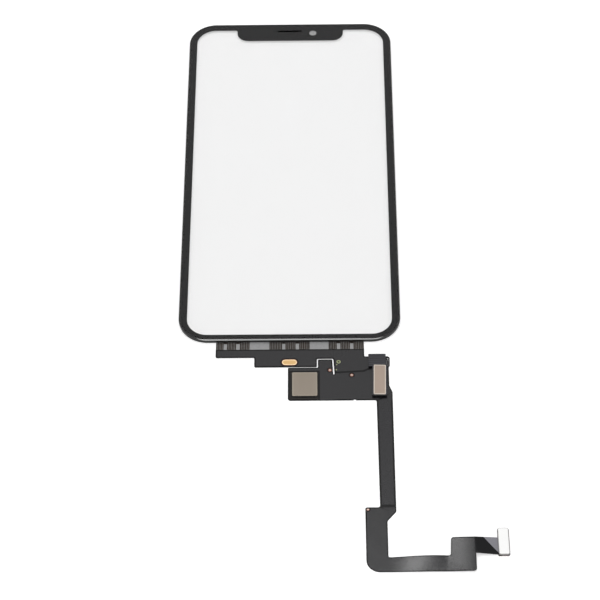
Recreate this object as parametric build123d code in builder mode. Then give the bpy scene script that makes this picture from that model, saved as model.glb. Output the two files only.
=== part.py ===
from build123d import *
from math import atan2, cos, hypot, sin
import os

# Touch panel of a notched phone with its flex circuits, lying face up.
# Millimetres. The origin is the centre of the panel on its rear bonding face, +Z is up through
# the glass, +Y runs towards the earpiece and the flex circuits leave at -Y.

# Cover glass
glass_width = 68.0
glass_length = 140.9
glass_thickness = 0.8
glass_corner_radius = 9.2
glass_top_round = 0.45
glass_bottom_chamfer = 0.12

# Black border print on the back of the glass, with its clear window
border_width = 2.58
print_margin = 0.15
print_thickness = 0.04
window_corner_radius = 6.4
notch_width = 35.8
notch_depth = 5.2
notch_corner_radius = 3.7
notch_shoulder_radius = 0.6

# Earpiece slot through the glass, its mesh, and the clear camera window in the print
slot_length = 8.2
slot_height = 0.65
slot_x = -0.2
slot_from_top = 3.6
slot_chamfer = 0.08
slot_lining_thickness = 0.04
mesh_margin = 0.6
mesh_thickness = 0.04
camera_window_diameter = 2.4
camera_window_x = 7.7
camera_window_from_top = 4.1

# Bonded layers behind the glass
front_adhesive_thickness = 0.25
adhesive_setback = 0.15
sensor_thickness = 0.13
sensor_clearance = 0.1
sensor_notch_overlap = 1.0
step_clearance = 0.03
rear_adhesive_gap = 0.2

# Black plastic frame round the back of the glass
frame_width = 1.2
frame_inset = 0.1
frame_edge_chamfer = 0.12
frame_tape_thickness = 0.04
frame_tape_setback = 0.15
passage_clearance = 0.05

# Layers of the flex circuits
film_thickness = 0.06
coverlay_thickness = 0.04
trace_thickness = 0.02
lap_clearance = 0.02

# Bond flex: a reach is a distance below the glass's bottom edge
bond_left = 22.35
bond_right = 22.7
bond_tongue = 2.9
bond_corner_radius = 0.35
bond_strip_width = 1.3
bond_strip_side = 0.4
bond_strip_inset = 0.1
bare_film_reach = 2.82
shoulder_reach = 6.01
ear_rise = 0.2
wing_corner_radius = 0.6
body_reach = 9.81
body_left = 10.6
body_corner_radius = 0.55

# Slit between the two flex circuits, and the recess that takes the controller flex's tab
slit_width = 0.15
recess_left = 8.35
recess_width = 4.95
recess_reach = 6.6
recess_lean = 0.3
recess_corner_radius = 0.4
tab_side_gap = 0.3
tab_top_gap = 0.2
slit_end_width = 0.35
slit_end_margin = 0.5
slit_end_roundness = 0.45

# Part of the bond flex that laps over the controller flex, measured below the body's edge
lap_near = 2.35
lap_mid = 1.85
lap_mid_x = 22.4
lap_far = 0.4
lap_far_x = 25.0
lap_hidden = 0.1

# Copper traces on the bare film, in groups parted by clear windows
trace_pitch = 0.5
trace_gap = 0.1
trace_groups = [
    (-22.25, -19.95),
    (-19.0, -16.15),
    (-15.1, -12.05),
    (-6.1, -2.15),
    (-1.25, 1.95),
    (2.95, 6.2),
    (11.9, 14.45),
    (15.45, 18.45),
    (19.45, 22.6),
]
narrow_window_drop = 0.5
widest_narrow_window = 2.0

# Gold ground pad and printed marks on the bond flex, each at (x, reach)
ground_pad_length = 4.45
ground_pad_width = 2.05
ground_pad_place = (0.05, 7.91)
pad_thickness = 0.03
pad_opening_margin = 0.15
mark_thickness = 0.02
ring_mark_diameter = 1.3
ring_mark_bore = 0.6
ring_mark_place = (14.9, 7.86)
dot_mark_diameter = 0.45
dot_mark_places = [(14.3, 8.96), (14.2, 10.96)]

# Controller flex
controller_left = 0.42
controller_height = 12.75
controller_corner_radius = 0.9
controller_edge_reach = 2.82
controller_shoulder_start = 7.1
controller_shoulder_end = 9.7
controller_shoulder_radius = 1.0
index_notch_x = 19.6
index_notch_radius = 0.35

# Touch controller, its underfill and its metal plate, in a window of the coverlay
window_side_margin = 0.47
controller_window_width = 8.8
controller_window_height = 10.7
controller_window_drop = 1.65
package_width = 7.3
package_length = 8.8
package_height = 0.56
package_side_gap = 0.95
package_top_gap = 0.85
underfill_height = 0.12
underfill_side = 0.2
underfill_foot = 0.85
plate_overhang = 0.12
plate_thickness = 0.12
plate_corner_radius = 0.35
plate_rim_width = 0.55
plate_rim_height = 0.04

# Copper test pads, each at (x, reach)
test_pad_diameter = 0.7
test_pad_places = [(12.25, 10.96), (18.8, 12.96)]
test_pad_opening = 1.2
elbow_pad_diameter = 0.6
elbow_pad_opening = 0.9
elbow_pad_inset = 0.8

# Board connector between the two flex circuits
connector_x = 27.18
connector_drop = 5.65
connector_turn = -1.3
receptacle_width = 3.3
receptacle_length = 10.7
receptacle_height = 0.7
receptacle_wall = 0.35
receptacle_floor = 0.12
receptacle_radius = 0.2
island_width = 0.8
island_end_gap = 0.7
island_height = 0.35
mating_clearance = 0.05
plug_depth = 0.5
contact_pitch = 0.6
contact_width = 0.25
contact_thickness = 0.05
contact_foot = 0.3
contact_end_margin = 0.8

# Strip that folds back over the bond flex and carries the plug under a metal plate
neck_width = 5.25
neck_offset = -0.65
strip_thickness = 0.12
strip_root_length = 2.75
strip_leg_gap = 0.24
strip_flat_length = 1.95
strip_ramp_length = 1.9
fold_overhang = 0.75
ramp_bend_radius = 0.6
strip_pad_width = 4.5
strip_pad_margin = 0.3
strip_pad_radius = 0.3
connector_plate_width = 3.62
connector_plate_length = 11.3
connector_plate_thickness = 0.18
connector_plate_radius = 0.25

# Ear of the bond flex beside the strip, with a small hole and a stiffening ring
ear_width = 1.2
ear_drop = 4.25
ear_corner_radius = 0.8
ear_hole_diameter = 0.4
ear_hole_drop = 0.95
ear_ring_length = 2.2
ear_ring_width = 0.9
ear_ring_wall = 0.2
ear_ring_thickness = 0.05
ear_ring_gap = 0.35

# Tail ribbon, down to its elbow
tail_offset = 0.93
tail_width = 4.83
tail_taper = 0.2
tail_length = 39.6
tail_corner_radius = 0.6
elbow_step = 4.3
elbow_width = 6.3
elbow_length = 22.65
elbow_neck_start = 1.6
elbow_neck_end = 4.9
elbow_neck_radius = 1.2
elbow_radius = 4.0
elbow_inner_radius = 0.45
overlay_margin = 0.55
overlay_drop = 2.9
overlay_end_gap = 0.9
overlay_thickness = 0.04

# Run, tab and ribbon of the tail, which lift a little off the table
run_width = 5.1
run_lead = 1.0
run_length = 15.6
run_stations = 4
run_twist_share = 0.5
run_near_lift = 0.2
run_far_lift = 0.8
tab_length = 8.25
tab_width = 10.95
tab_rise = 0.26
tab_step = 1.05
tab_lean = 0.25
tab_corner_radius = 0.85
tab_inner_radius = 0.6
ribbon_width = 5.2
ribbon_length = 6.3
ribbon_end_width = 5.9
ribbon_end_inset = 0.45

# Tail connector under its protective cap
end_pad_width = 3.4
end_pad_length = 9.55
end_pad_offset = 0.15
end_pad_radius = 0.6
stiffener_thickness = 0.18
socket_width = 2.3
socket_length = 7.8
socket_height = 0.42
socket_groove_width = 0.9
socket_groove_depth = 0.28
socket_contact_margin = 0.7
socket_contact_foot = 0.18
cap_width = 3.1
cap_length = 9.2
cap_wall = 0.2
cap_roof = 0.1
cap_radius = 0.5
cap_lift = 0.04
cap_edge_chamfer = 0.06

# Heights of the layers above the surface that the panel lies on
controller_top_z = film_thickness + coverlay_thickness
bond_film_z = controller_top_z + lap_clearance
bond_trace_z = bond_film_z + film_thickness
bond_top_z = bond_trace_z + coverlay_thickness
sensor_z = bond_trace_z + trace_thickness
front_adhesive_z = sensor_z + sensor_thickness
print_z = front_adhesive_z + front_adhesive_thickness
glass_z = print_z + print_thickness
frame_top_z = print_z - frame_tape_thickness
strip_pad_z = controller_top_z + receptacle_height + contact_thickness + mating_clearance

# Places in plan
glass_bottom = -glass_length / 2
window_width = glass_width - 2 * border_width
window_length = glass_length - 2 * border_width
slot_place = (slot_x, glass_length / 2 - slot_from_top)
camera_window_place = (camera_window_x, glass_length / 2 - camera_window_from_top)
shoulder_y = glass_bottom - shoulder_reach
body_y = glass_bottom - body_reach
recess_y = glass_bottom - recess_reach
recess_right = recess_left + recess_width
tab_left = recess_left + tab_side_gap
tab_top = recess_y - tab_top_gap
ear_top = shoulder_y + ear_rise
controller_top = body_y - slit_width
controller_bottom = controller_top - controller_height
controller_right = connector_x + controller_edge_reach
connector_y = controller_top - connector_drop
strip_right = connector_x + neck_offset + neck_width / 2
ear_right = strip_right + ear_width
ear_x = strip_right + ear_width / 2
ear_bottom = ear_top - ear_drop
tail_right = controller_right + tail_offset
tail_left = tail_right - tail_width
elbow_top = controller_bottom - tail_length
elbow_bottom = elbow_top - elbow_length
elbow_left = tail_left + tail_taper - elbow_step
elbow_right = elbow_left + elbow_width
run_start = elbow_right + run_lead
run_end = run_start + run_length


def below(place):
    """Plan point of an (x, reach) pair measured from the glass's bottom edge."""
    x, reach = place
    return (x, glass_bottom - reach)


def inset_plate(inset):
    """The glass's outline drawn in by one distance all round."""
    with BuildSketch() as plate:
        RectangleRounded(
            glass_width - 2 * inset,
            glass_length - 2 * inset,
            glass_corner_radius - inset,
        )
    return plate.sketch


def notched_window(inset):
    """Outline of the clear window with the phone's notch, drawn in by one distance."""
    top = window_length / 2 - inset
    half_notch = notch_width / 2 + inset
    with BuildSketch() as window:
        RectangleRounded(
            window_width - 2 * inset, window_length - 2 * inset, window_corner_radius - inset
        )
        with Locations((0, top)):
            Rectangle(2 * half_notch, 2 * notch_depth, mode=Mode.SUBTRACT)
        notch_sides = window.vertices().filter_by(lambda v: abs(abs(v.X) - half_notch) < 0.001)
        fillet(notch_sides.sort_by(Axis.Y)[:2], notch_corner_radius + inset)
        notch_sides = window.vertices().filter_by(lambda v: abs(abs(v.X) - half_notch) < 0.001)
        fillet(notch_sides.sort_by(Axis.Y)[-2:], notch_shoulder_radius)
    return window.sketch


def bonded_plate(setback):
    """Outline of a layer bonded behind the glass, inside the frame and cut out at the notch."""
    inset = frame_inset + frame_width + sensor_clearance + setback
    overlap = sensor_notch_overlap - setback
    notch_floor = window_length / 2 - notch_depth + overlap
    with BuildSketch() as plate:
        add(inset_plate(inset))
        with Locations((0, notch_floor)):
            Rectangle(
                notch_width - 2 * overlap,
                glass_length,
                align=(Align.CENTER, Align.MIN),
                mode=Mode.SUBTRACT,
            )
    return plate.sketch


def flex_outline(corners):
    """Closed outline of a flex circuit from (x, y, corner radius) triples."""
    with BuildSketch() as outline:
        with BuildLine():
            FilletPolyline(
                *[(x, y) for x, y, _ in corners],
                radius=[radius for _, _, radius in corners],
                close=True,
            )
        make_face()
    return outline.sketch


# Glass with a rounded edge, and the slot that the earpiece speaks through
with BuildPart() as cover_glass:
    with BuildSketch(Plane.XY.offset(glass_z)):
        add(inset_plate(0))
        with Locations(slot_place):
            SlotOverall(slot_length, slot_height, mode=Mode.SUBTRACT)
    extrude(amount=glass_thickness)
    glass_face = cover_glass.faces().sort_by(Axis.Z)[-1]
    chamfer(glass_face.inner_wires()[0].edges(), slot_chamfer)
    glass_face = cover_glass.faces().sort_by(Axis.Z)[-1]
    fillet(glass_face.outer_wire().edges(), glass_top_round)
    glass_back = cover_glass.faces().sort_by(Axis.Z)[0]
    chamfer(glass_back.outer_wire().edges(), glass_bottom_chamfer)

# Border print: a ring of ink with the notch, the camera window and the slot, whose walls
# through the glass are inked as well
with BuildPart() as border_print:
    with BuildSketch(Plane.XY.offset(print_z)):
        add(inset_plate(print_margin))
        add(notched_window(0), mode=Mode.SUBTRACT)
        with Locations(slot_place):
            SlotOverall(slot_length, slot_height, mode=Mode.SUBTRACT)
        with Locations(camera_window_place):
            Circle(camera_window_diameter / 2, mode=Mode.SUBTRACT)
    extrude(amount=print_thickness)
    with BuildSketch(Plane.XY.offset(print_z)):
        with Locations(slot_place):
            SlotOverall(slot_length, slot_height)
            SlotOverall(
                slot_length - 2 * slot_lining_thickness,
                slot_height - 2 * slot_lining_thickness,
                mode=Mode.SUBTRACT,
            )
    extrude(amount=glass_z + glass_thickness - slot_chamfer - print_z)

# Fine mesh bonded behind the earpiece slot
with BuildPart() as earpiece_mesh:
    with BuildSketch(Plane.XY.offset(print_z - mesh_thickness)):
        with Locations(slot_place):
            SlotOverall(slot_length + 2 * mesh_margin, slot_height + 2 * mesh_margin)
    extrude(amount=mesh_thickness)

# Front adhesive, which also fills the step of the print inside the window
with BuildPart() as front_adhesive:
    with BuildSketch(Plane.XY.offset(front_adhesive_z)):
        add(bonded_plate(adhesive_setback))
    extrude(amount=front_adhesive_thickness)
    with BuildSketch(Plane.XY.offset(print_z)):
        add(notched_window(step_clearance))
    extrude(amount=print_thickness)

# Touch sensor film
with BuildPart() as touch_sensor:
    with BuildSketch(Plane.XY.offset(sensor_z)):
        add(bonded_plate(0))
    extrude(amount=sensor_thickness)

# Rear adhesive, whose back face takes the display, cut short above the bond flex's tongue
rear_adhesive_end = glass_bottom + bond_tongue + rear_adhesive_gap
with BuildPart() as rear_adhesive:
    with BuildSketch(Plane.XY):
        add(bonded_plate(adhesive_setback))
        with Locations((0, rear_adhesive_end)):
            Rectangle(
                glass_width,
                glass_length,
                align=(Align.CENTER, Align.MAX),
                mode=Mode.SUBTRACT,
            )
    extrude(amount=sensor_z)

# Frame round the back of the glass, with a passage for the bond flex
with BuildPart() as bezel_frame:
    with BuildSketch(Plane.XY):
        add(inset_plate(frame_inset))
        add(inset_plate(frame_inset + frame_width), mode=Mode.SUBTRACT)
    extrude(amount=frame_top_z)
    frame_foot = bezel_frame.faces().sort_by(Axis.Z)[0]
    chamfer(frame_foot.outer_wire().edges(), frame_edge_chamfer)
    with BuildSketch(Plane.XY):
        with Locations(((bond_right - bond_left) / 2, glass_bottom)):
            Rectangle(
                bond_left + bond_right + 2 * passage_clearance,
                2 * (frame_inset + frame_width + passage_clearance),
            )
    extrude(amount=bond_top_z + passage_clearance, mode=Mode.SUBTRACT)

# Tape that holds the frame to the print
with BuildPart() as frame_tape:
    with BuildSketch(Plane.XY.offset(frame_top_z)):
        add(inset_plate(frame_inset + frame_tape_setback))
        add(
            inset_plate(frame_inset + frame_width - frame_tape_setback),
            mode=Mode.SUBTRACT,
        )
    extrude(amount=frame_tape_thickness)

# Outline of the bond flex, from its tongue under the sensor to the ear beside the strip
bond_outline = flex_outline(
    [
        (-bond_left, glass_bottom + bond_tongue, 0),
        (bond_right, glass_bottom + bond_tongue, 0),
        (bond_right, ear_top, bond_corner_radius),
        (ear_right, ear_top, ear_corner_radius),
        (ear_right, ear_bottom, ear_corner_radius),
        (lap_far_x, body_y - lap_far, ear_corner_radius),
        (lap_mid_x, body_y - lap_mid, ear_corner_radius),
        (recess_right + recess_lean, body_y - lap_near, bond_corner_radius),
        (recess_right, recess_y, recess_corner_radius),
        (recess_left, recess_y, recess_corner_radius),
        (recess_left, body_y, recess_corner_radius),
        (-body_left, body_y, body_corner_radius),
        (-body_left, shoulder_y, bond_corner_radius),
        (-bond_left, shoulder_y, wing_corner_radius),
    ]
)
ear_hole_place = (ear_x, ear_top - ear_hole_drop)

# Clear base film of the bond flex
with BuildPart() as bond_film:
    with BuildSketch(Plane.XY.offset(bond_film_z)):
        add(bond_outline)
        with Locations(ear_hole_place):
            Circle(ear_hole_diameter / 2, mode=Mode.SUBTRACT)
    extrude(amount=film_thickness)

# Conductive strip that bonds the film's tongue to the sensor
bond_strip_top = glass_bottom + bond_tongue - bond_strip_inset
with BuildPart() as bond_strip:
    with BuildSketch(Plane.XY.offset(bond_trace_z)):
        with Locations(((bond_right - bond_left) / 2, bond_strip_top)):
            Rectangle(
                bond_left + bond_right - 2 * bond_strip_side,
                bond_strip_width,
                align=(Align.CENTER, Align.MAX),
            )
    extrude(amount=trace_thickness)

# Copper traces from the bonding strip to the edge of the coverlay, and copper across the
# upper end of the narrow windows between them
trace_top = bond_strip_top - bond_strip_width
coverlay_top = glass_bottom - bare_film_reach
narrow_window_top = glass_bottom - narrow_window_drop
with BuildPart() as bond_traces:
    with BuildSketch(Plane.XY.offset(bond_trace_z)):
        for group_left, group_right in trace_groups:
            count = round((group_right - group_left) / trace_pitch)
            spacing = (group_right - group_left) / count
            with Locations(((group_left + group_right) / 2, (trace_top + coverlay_top) / 2)):
                with GridLocations(spacing, 0, count, 1):
                    Rectangle(spacing - trace_gap, trace_top - coverlay_top)
        for group, next_group in zip(trace_groups, trace_groups[1:]):
            window_left, window_right = group[1], next_group[0]
            if window_right - window_left < widest_narrow_window:
                with Locations(((window_left + window_right) / 2, narrow_window_top)):
                    Rectangle(
                        window_right - window_left,
                        trace_top - narrow_window_top,
                        align=(Align.CENTER, Align.MIN),
                    )
    extrude(amount=trace_thickness)

# Black coverlay of the bond flex, open over the ground pad
with BuildPart() as bond_coverlay:
    with BuildSketch(Plane.XY.offset(bond_trace_z)):
        add(bond_outline)
        with Locations((0, coverlay_top)):
            Rectangle(
                glass_width,
                glass_length,
                align=(Align.CENTER, Align.MIN),
                mode=Mode.SUBTRACT,
            )
        with Locations(ear_hole_place):
            Circle(ear_hole_diameter / 2, mode=Mode.SUBTRACT)
        with Locations(below(ground_pad_place)):
            SlotOverall(
                ground_pad_length + 2 * pad_opening_margin,
                ground_pad_width + 2 * pad_opening_margin,
                mode=Mode.SUBTRACT,
            )
    extrude(amount=coverlay_thickness)

# Gold ground pad
with BuildPart() as ground_pad:
    with BuildSketch(Plane.XY.offset(bond_trace_z)):
        with Locations(below(ground_pad_place)):
            SlotOverall(ground_pad_length, ground_pad_width)
    extrude(amount=pad_thickness)

# Ring and dots printed on the coverlay, by which the flex is placed
with BuildPart() as placing_marks:
    with BuildSketch(Plane.XY.offset(bond_top_z)):
        with Locations(below(ring_mark_place)):
            Circle(ring_mark_diameter / 2)
            Circle(ring_mark_bore / 2, mode=Mode.SUBTRACT)
        with Locations(*[below(place) for place in dot_mark_places]):
            Circle(dot_mark_diameter / 2)
    extrude(amount=mark_thickness)

# Stiffening ring on the ear
ear_ring_y = ear_hole_place[1] - ear_hole_diameter / 2 - ear_ring_gap - ear_ring_length / 2
with BuildPart() as ear_ring:
    with BuildSketch(Plane.XY.offset(bond_top_z)):
        with Locations((ear_x, ear_ring_y)):
            SlotOverall(ear_ring_length, ear_ring_width, rotation=90)
            SlotOverall(
                ear_ring_length - 2 * ear_ring_wall,
                ear_ring_width - 2 * ear_ring_wall,
                rotation=90,
                mode=Mode.SUBTRACT,
            )
    extrude(amount=ear_ring_thickness)

# Outline of the controller flex and the flat part of its tail
slit_end_y = body_y - lap_near - slit_end_margin
slit_end_right = recess_right + recess_lean
slit_end_left = slit_end_right - slit_end_width
slit_end_radius = slit_end_width * slit_end_roundness
controller_outline = flex_outline(
    [
        (-controller_left, controller_top, bond_corner_radius),
        (tab_left, controller_top, 0),
        (tab_left, tab_top, bond_corner_radius),
        (recess_right - tab_side_gap, tab_top, bond_corner_radius),
        (slit_end_left, slit_end_y, slit_end_radius),
        (slit_end_right, slit_end_y, slit_end_radius),
        (slit_end_right, body_y - lap_hidden, 0),
        (controller_right, body_y - lap_hidden, 0),
        (controller_right, controller_top - controller_shoulder_start, controller_shoulder_radius),
        (tail_right, controller_top - controller_shoulder_end, controller_shoulder_radius),
        (tail_right, elbow_top - elbow_neck_start, elbow_neck_radius),
        (elbow_right, elbow_top - elbow_neck_end, elbow_neck_radius),
        (elbow_right, elbow_bottom + run_width, elbow_inner_radius),
        (run_start, elbow_bottom + run_width, 0),
        (run_start, elbow_bottom, 0),
        (elbow_left, elbow_bottom, elbow_radius),
        (elbow_left, elbow_top, tail_corner_radius),
        (tail_left + tail_taper, elbow_top, tail_corner_radius),
        (tail_left, controller_bottom, tail_corner_radius),
        (-controller_left, controller_bottom, controller_corner_radius),
    ]
)

# Plane of the tail's tab: its X runs along the near edge and its Y up the tilted sheet
tilt = atan2(run_far_lift - run_near_lift, run_width)
near_edge = Vector(tab_length, 0, tab_rise)
up_the_sheet = Vector(0, cos(tilt), sin(tilt))
tab_plane = Plane(
    origin=(run_end, elbow_bottom, run_near_lift),
    x_dir=near_edge,
    z_dir=near_edge.cross(up_the_sheet),
)
tab_end_x = hypot(tab_length, tab_rise)

# Pad at the end of the tail, a little beyond the inner edge of the run
end_pad_left = run_end + tab_length + ribbon_length
end_pad_right = end_pad_left + end_pad_width
end_pad_bottom = elbow_bottom + run_width + end_pad_offset
end_pad_top = end_pad_bottom + end_pad_length
end_pad_outline = flex_outline(
    [
        (end_pad_left, end_pad_bottom, 0),
        (end_pad_right, end_pad_bottom, end_pad_radius),
        (end_pad_right, end_pad_top, end_pad_radius),
        (end_pad_left, end_pad_top, end_pad_radius),
    ]
)


def ease(share):
    """Smooth rise from 0 to 1 with a level start and end."""
    return share * share * (3 - 2 * share)


def across_sheet(near, far, low, high):
    """Cross-section of one layer: X across the sheet and Y through its thickness."""
    with BuildSketch() as section:
        with Locations(((near + far) / 2, (low + high) / 2)):
            Rectangle(far - near, high - low)
    return section.sketch


def raised_tail(low, high):
    """Run, tab, ribbon and end pad of the tail, for the layer between two heights."""
    with BuildPart() as tail:
        for station in range(run_stations - 1):
            share = run_twist_share * station / (run_stations - 2)
            near_lift = run_near_lift * ease(share / run_twist_share)
            far_lift = run_far_lift * ease(share / run_twist_share)
            slope = atan2(far_lift - near_lift, run_width)
            station_plane = Plane(
                origin=(run_start + share * run_length, elbow_bottom, near_lift),
                x_dir=(0, cos(slope), sin(slope)),
                z_dir=(1, 0, 0),
            )
            with BuildSketch(station_plane):
                add(across_sheet(0, run_width, low, high))
        tab_start = Plane(
            origin=tab_plane.origin, x_dir=tab_plane.y_dir, z_dir=tab_plane.x_dir
        )
        with BuildSketch(tab_start):
            add(across_sheet(0, run_width, low, high))
        loft()
        with BuildSketch(tab_plane.offset(low)):
            with BuildLine():
                FilletPolyline(
                    (0, 0),
                    (tab_end_x, 0),
                    (tab_end_x, tab_width),
                    (tab_step + tab_lean, tab_width),
                    (tab_step, run_width),
                    (0, run_width),
                    radius=[0, tab_corner_radius, 0, tab_corner_radius, tab_inner_radius, 0],
                    close=True,
                )
            make_face()
        extrude(amount=high - low)
        with BuildSketch(tab_start.offset(tab_end_x)):
            add(across_sheet(tab_width - ribbon_width, tab_width, low, high))
        pad_start = Plane(
            origin=(end_pad_left, end_pad_bottom + ribbon_end_inset, stiffener_thickness),
            x_dir=(0, 1, 0),
            z_dir=(1, 0, 0),
        )
        with BuildSketch(pad_start):
            add(across_sheet(0, ribbon_end_width, low, high))
        loft()
        with BuildSketch(Plane.XY.offset(stiffener_thickness + low)):
            add(end_pad_outline)
        extrude(amount=high - low)
    return tail.part


# Base film of the controller flex
with BuildPart() as controller_film:
    with BuildSketch(Plane.XY):
        add(controller_outline)
        with Locations((index_notch_x, controller_bottom)):
            Circle(index_notch_radius, mode=Mode.SUBTRACT)
    extrude(amount=film_thickness)
    add(raised_tail(0, film_thickness))

# Window of the coverlay round the touch controller
controller_window_left = window_side_margin - controller_left
window_y = controller_top - controller_window_drop - controller_window_height / 2
window_x = controller_window_left + controller_window_width / 2
package_x = controller_window_left + package_side_gap + package_width / 2
package_top = controller_top - controller_window_drop - package_top_gap
package_y = package_top - package_length / 2
elbow_pad_place = (elbow_left + elbow_pad_inset, elbow_top - elbow_pad_inset)

# Black coverlay of the controller flex, open over the controller and the test pads
with BuildPart() as controller_coverlay:
    with BuildSketch(Plane.XY.offset(film_thickness)):
        add(controller_outline)
        with Locations((index_notch_x, controller_bottom)):
            Circle(index_notch_radius, mode=Mode.SUBTRACT)
        with Locations((window_x, window_y)):
            Rectangle(
                controller_window_width, controller_window_height, mode=Mode.SUBTRACT
            )
        with Locations(*[below(place) for place in test_pad_places]):
            Circle(test_pad_opening / 2, mode=Mode.SUBTRACT)
        with Locations(elbow_pad_place):
            Circle(elbow_pad_opening / 2, mode=Mode.SUBTRACT)
    extrude(amount=coverlay_thickness)
    add(raised_tail(film_thickness, controller_top_z))

# Copper test pads on the film
with BuildPart() as test_pads:
    with BuildSketch(Plane.XY.offset(film_thickness)):
        with Locations(*[below(place) for place in test_pad_places]):
            Circle(test_pad_diameter / 2)
        with Locations(elbow_pad_place):
            Circle(elbow_pad_diameter / 2)
    extrude(amount=pad_thickness)

# Moulded package of the touch controller
with BuildPart() as touch_controller:
    with BuildSketch(Plane.XY.offset(film_thickness)):
        with Locations((package_x, package_y)):
            Rectangle(package_width, package_length)
    extrude(amount=package_height)

# Bead of underfill round the package, widest along its foot
with BuildPart() as underfill:
    with BuildSketch(Plane.XY.offset(film_thickness)):
        with Locations((package_x, package_top + underfill_side)):
            Rectangle(
                package_width + 2 * underfill_side,
                package_length + underfill_side + underfill_foot,
                align=(Align.CENTER, Align.MAX),
            )
        with Locations((package_x, package_y)):
            Rectangle(package_width, package_length, mode=Mode.SUBTRACT)
    extrude(amount=underfill_height)

# Metal plate on the package, with a raised rim
plate_width = package_width + 2 * plate_overhang
plate_length = package_length + 2 * plate_overhang
with BuildPart() as controller_plate:
    with BuildSketch(Plane.XY.offset(film_thickness + package_height)):
        with Locations((package_x, package_y)):
            RectangleRounded(plate_width, plate_length, plate_corner_radius)
    extrude(amount=plate_thickness + plate_rim_height)
    with BuildSketch(Plane.XY.offset(film_thickness + package_height + plate_thickness)):
        with Locations((package_x, package_y)):
            Rectangle(plate_width - 2 * plate_rim_width, plate_length - 2 * plate_rim_width)
    extrude(amount=plate_rim_height, mode=Mode.SUBTRACT)

# Overlay along the middle of the tail
overlay_top = controller_top - controller_shoulder_end - overlay_drop
overlay_bottom = elbow_top + overlay_end_gap
with BuildPart() as tail_overlay:
    with BuildSketch(Plane.XY.offset(controller_top_z)):
        with BuildLine():
            Polyline(
                (tail_left + overlay_margin, overlay_top),
                (tail_right - overlay_margin, overlay_top),
                (tail_right - overlay_margin, overlay_bottom),
                (tail_left + tail_taper + overlay_margin, overlay_bottom),
                close=True,
            )
        make_face()
    extrude(amount=overlay_thickness)

# Receptacle of the board connector, with a cavity round an island
connector_place = Location((connector_x, connector_y, 0), (0, 0, connector_turn))
cavity_width = receptacle_width - 2 * receptacle_wall
cavity_length = receptacle_length - 2 * receptacle_wall
island_length = cavity_length - 2 * island_end_gap
with BuildPart() as receptacle_body:
    with BuildSketch(Plane.XY.offset(controller_top_z)):
        with Locations(connector_place):
            RectangleRounded(receptacle_width, receptacle_length, receptacle_radius)
    extrude(amount=receptacle_height)
    with BuildSketch(Plane.XY.offset(controller_top_z + receptacle_floor)):
        with Locations(connector_place):
            Rectangle(cavity_width, cavity_length)
    extrude(amount=receptacle_height, mode=Mode.SUBTRACT)
    with BuildSketch(Plane.XY.offset(controller_top_z + receptacle_floor)):
        with Locations(connector_place):
            Rectangle(island_width, island_length)
    extrude(amount=island_height)

# Soldered contact feet along both sides of the receptacle
receptacle_side = receptacle_width / 2
contact_count = int((receptacle_length - 2 * contact_end_margin) / contact_pitch)
with BuildPart() as receptacle_contacts:
    for side in (-1, 1):
        foot_place = Location((side * (receptacle_side + contact_foot / 2), 0, 0))
        with BuildSketch(Plane.XY.offset(controller_top_z)):
            with Locations(connector_place * foot_place):
                with GridLocations(0, contact_pitch, 1, contact_count):
                    Rectangle(contact_foot, contact_width)
        extrude(amount=contact_thickness)

# Plug that drops into the receptacle, with a groove for the island
plug_width = cavity_width - 2 * mating_clearance
plug_length = cavity_length - 2 * mating_clearance
island_top_z = controller_top_z + receptacle_floor + island_height
with BuildPart() as plug_body:
    with BuildSketch(Plane.XY.offset(strip_pad_z - plug_depth)):
        with Locations(connector_place):
            Rectangle(plug_width, plug_length)
    extrude(amount=plug_depth)
    with BuildSketch(Plane.XY.offset(strip_pad_z - plug_depth)):
        with Locations(connector_place):
            Rectangle(island_width + 2 * mating_clearance, island_length + 2 * mating_clearance)
    extrude(amount=island_top_z + mating_clearance - strip_pad_z + plug_depth, mode=Mode.SUBTRACT)

# Contacts of the plug, soldered to the underside of the strip
with BuildPart() as plug_contacts:
    for side in (-1, 1):
        foot_place = Location((side * (plug_width / 2 + contact_foot / 2), 0, 0))
        with BuildSketch(Plane.XY.offset(strip_pad_z - contact_thickness)):
            with Locations(connector_place * foot_place):
                with GridLocations(0, contact_pitch, 1, contact_count):
                    Rectangle(contact_foot, contact_width)
        extrude(amount=contact_thickness)

# Strip folded back over the bond flex, ramping up to the pad that carries the plug
strip_pad_length = connector_plate_length + 2 * strip_pad_margin
strip_pad_top = connector_y + strip_pad_length / 2
low_leg_z = bond_top_z + strip_thickness / 2
high_leg_z = low_leg_z + strip_thickness + strip_leg_gap
fold_radius = (high_leg_z - low_leg_z) / 2
fold_y = ear_top + fold_overhang - fold_radius - strip_thickness / 2
ramp_top_y = fold_y - strip_flat_length
strip_middle_z = strip_pad_z + strip_thickness / 2
with BuildPart() as plug_strip:
    with BuildLine(Plane.YZ.offset(connector_x + neck_offset)) as strip_path:
        Line((ear_top - strip_root_length, low_leg_z), (fold_y, low_leg_z))
        CenterArc((fold_y, low_leg_z + fold_radius), fold_radius, -90, 180)
        FilletPolyline(
            (fold_y, high_leg_z),
            (ramp_top_y, high_leg_z),
            (ramp_top_y - strip_ramp_length, strip_middle_z),
            (strip_pad_top - strip_pad_radius - strip_pad_margin, strip_middle_z),
            radius=ramp_bend_radius,
        )
    with BuildSketch(Plane(origin=strip_path.wire() @ 0, x_dir=(1, 0, 0), z_dir=(0, 1, 0))):
        Rectangle(neck_width, strip_thickness)
    sweep()
    with BuildSketch(Plane.XY.offset(strip_pad_z)):
        with Locations(connector_place):
            RectangleRounded(strip_pad_width, strip_pad_length, strip_pad_radius)
    extrude(amount=strip_thickness)

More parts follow.
